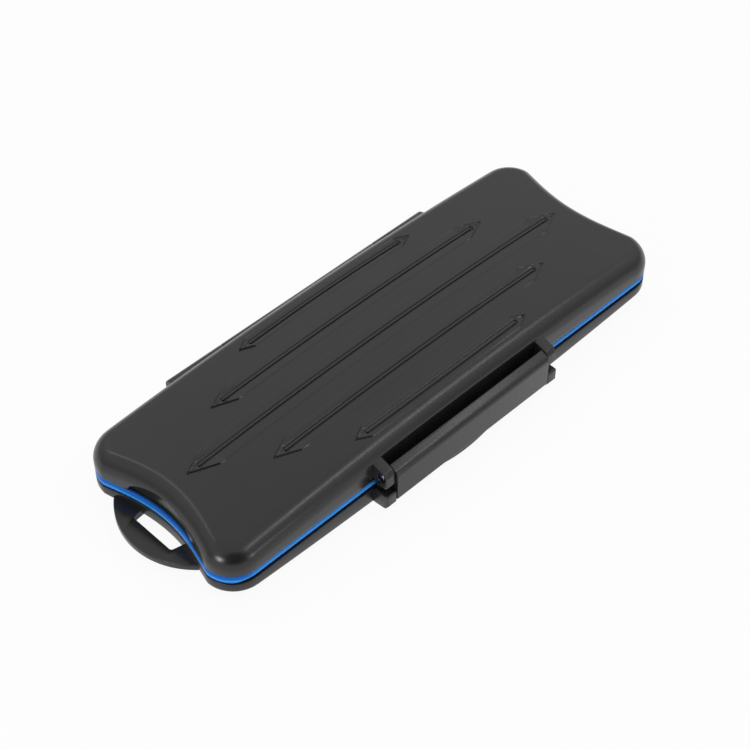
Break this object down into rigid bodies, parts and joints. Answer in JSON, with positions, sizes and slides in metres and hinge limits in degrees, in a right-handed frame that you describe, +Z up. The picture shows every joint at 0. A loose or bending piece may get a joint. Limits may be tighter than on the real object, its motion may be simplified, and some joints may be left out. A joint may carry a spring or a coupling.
{
  "type": "game card case",
  "caption": "Slim hard case for game cards, with a crowned lid, rubber seal, side latch flap and a strap loop on one end.",
  "frame": {"origin": "middle of the flat underside that the closed case rests on", "axes": "+X along the case, away from the strap loop; +Y from the latch towards the hinge; +Z up"},
  "size_m": [0.2071, 0.0845, 0.0262],
  "materials": {
    "black_plastic": "fine grained black moulded plastic with a soft sheen",
    "latch_plastic": "smooth black moulded plastic with a soft sheen",
    "blue_rubber": "glossy blue silicone rubber",
    "steel": "bright drawn steel",
    "tray_rubber": "matt dark grey soft rubber"
  },
  "bodies": {
    "base": {"base_shell": "black_plastic", "base_tray": "tray_rubber", "seal_ring": "blue_rubber", "hinge_pin_left": "steel", "hinge_pin_right": "steel"},
    "lid": {"lid_shell": "black_plastic", "lid_tray": "tray_rubber", "latch_pin_left": "steel", "latch_pin_right": "steel"},
    "latch": {"latch_flap": "latch_plastic"}
  },
  "joints": [
    {"name": "lid_hinge", "type": "hinge", "parent": "base", "child": "lid", "pos_m": [0, 0.0392, 0.012], "axis": [-1, 0, 0], "range_deg": [0, 170]},
    {"name": "latch_hinge", "type": "hinge", "parent": "lid", "child": "latch", "pos_m": [0, -0.0391, 0.0162], "axis": [-1, 0, 0], "range_deg": [0, 110]}
  ]
}
